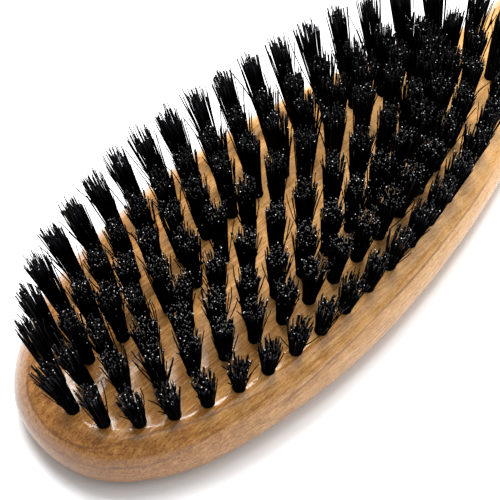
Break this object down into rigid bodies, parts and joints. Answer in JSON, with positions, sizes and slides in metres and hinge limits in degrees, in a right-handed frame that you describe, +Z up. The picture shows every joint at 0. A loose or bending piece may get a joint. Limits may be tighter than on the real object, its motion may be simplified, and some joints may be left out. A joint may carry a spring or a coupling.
{
  "type": "beard brush",
  "caption": "Lacquered wooden beard brush with a waisted handle, four concentric rings of fanned bristle tufts set in an oval head.",
  "frame": {"origin": "middle of the footprint, on the flat of the back that the brush lies on", "axes": "+X along the brush from the head end to the handle end, +Z up from the back towards the bristle tips, Y across"},
  "size_m": [0.215, 0.0523, 0.0293],
  "materials": {
    "lacquered_wood": "clear satin lacquer over a light brown close-grained wood",
    "black_bristle": "natural black bristle with a slight gloss and pale cut ends",
    "staple_wire": "plain flat wire"
  },
  "bodies": {
    "root": {"wooden_body": "lacquered_wood", "tufts_head_end": "black_bristle", "tufts_neck_end": "black_bristle", "tufts_ring_1_left": "black_bristle", "tufts_ring_1_right": "black_bristle", "tufts_ring_2_left": "black_bristle", "tufts_ring_2_right": "black_bristle", "tufts_ring_3_left": "black_bristle", "tufts_ring_3_right": "black_bristle", "tufts_ring_4_left": "black_bristle", "tufts_ring_4_right": "black_bristle", "staples_head_end": "staple_wire", "staples_neck_end": "staple_wire", "staples_ring_1_left": "staple_wire", "staples_ring_1_right": "staple_wire", "staples_ring_2_left": "staple_wire", "staples_ring_2_right": "staple_wire", "staples_ring_3_left": "staple_wire", "staples_ring_3_right": "staple_wire", "staples_ring_4_left": "staple_wire", "staples_ring_4_right": "staple_wire"}
  },
  "joints": []
}
